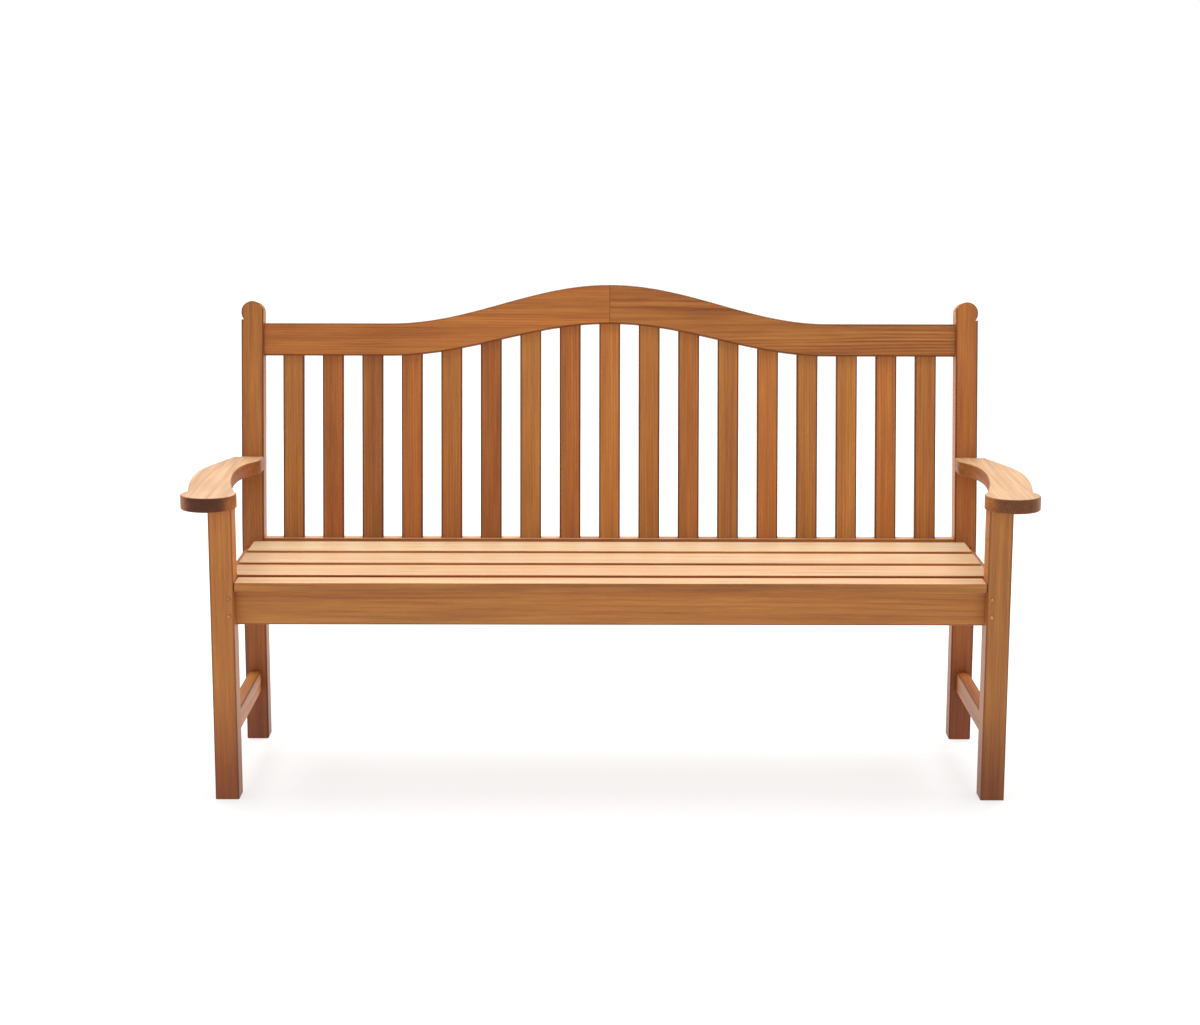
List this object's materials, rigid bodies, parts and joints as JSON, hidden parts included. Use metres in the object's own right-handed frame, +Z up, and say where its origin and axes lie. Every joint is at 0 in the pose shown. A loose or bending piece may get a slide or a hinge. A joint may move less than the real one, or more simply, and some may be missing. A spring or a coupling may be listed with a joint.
{
  "type": "garden bench",
  "caption": "Garden bench with a slatted seat, a raked slatted back under a serpentine crest rail, and shaped flat armrests on a pegged wooden frame.",
  "frame": {"origin": "on the ground, below the middle of the bench's overall box", "axes": "+Z up, +X along the bench to the right as seen from the front, +Y from the front towards the back"},
  "size_m": [1.623, 0.564, 0.9334],
  "materials": {
    "leg_wood": "oiled, fine straight grain",
    "post_wood": "oiled, fine straight grain",
    "crest_wood": "oiled, figured grain",
    "rail_wood": "oiled, long straight grain",
    "slat_wood": "oiled, each slat its own shade",
    "seat_wood": "oiled, long straight grain",
    "arm_wood": "oiled, sanded smooth",
    "peg_wood": "oiled, end grain"
  },
  "bodies": {
    "root": {"front_leg_left": "leg_wood", "front_leg_right": "leg_wood", "rear_post_left": "post_wood", "rear_post_right": "post_wood", "crest_rail_left": "crest_wood", "crest_rail_right": "crest_wood", "crest_tongue": "peg_wood", "front_seat_rail": "rail_wood", "rear_seat_rail": "rail_wood", "side_seat_rail_left": "rail_wood", "side_seat_rail_right": "rail_wood", "side_stretcher_left": "rail_wood", "side_stretcher_right": "rail_wood", "middle_bearer": "rail_wood", "seat_slat_1": "seat_wood", "seat_slat_2": "seat_wood", "seat_slat_3": "seat_wood", "seat_slat_4": "seat_wood", "back_slat_01": "slat_wood", "back_slat_02": "slat_wood", "back_slat_03": "slat_wood", "back_slat_04": "slat_wood", "back_slat_05": "slat_wood", "back_slat_06": "slat_wood", "back_slat_07": "slat_wood", "back_slat_08": "slat_wood", "back_slat_09": "slat_wood", "back_slat_10": "slat_wood", "back_slat_11": "slat_wood", "back_slat_12": "slat_wood", "back_slat_13": "slat_wood", "back_slat_14": "slat_wood", "back_slat_15": "slat_wood", "back_slat_16": "slat_wood", "back_slat_17": "slat_wood", "armrest_left": "arm_wood", "armrest_right": "arm_wood", "arm_dowel_left": "peg_wood", "arm_dowel_right": "peg_wood", "crest_peg_left": "peg_wood", "crest_peg_right": "peg_wood", "front_rail_peg_1_left": "peg_wood", "front_rail_peg_1_right": "peg_wood", "front_rail_peg_2_left": "peg_wood", "front_rail_peg_2_right": "peg_wood", "rear_rail_peg_1_left": "peg_wood", "rear_rail_peg_1_right": "peg_wood", "rear_rail_peg_2_left": "peg_wood", "rear_rail_peg_2_right": "peg_wood", "side_rail_peg_front_left": "peg_wood", "side_rail_peg_front_right": "peg_wood", "side_rail_peg_rear_left": "peg_wood", "side_rail_peg_rear_right": "peg_wood", "stretcher_peg_front_left": "peg_wood", "stretcher_peg_front_right": "peg_wood", "stretcher_peg_rear_left": "peg_wood", "stretcher_peg_rear_right": "peg_wood"}
  },
  "joints": []
}
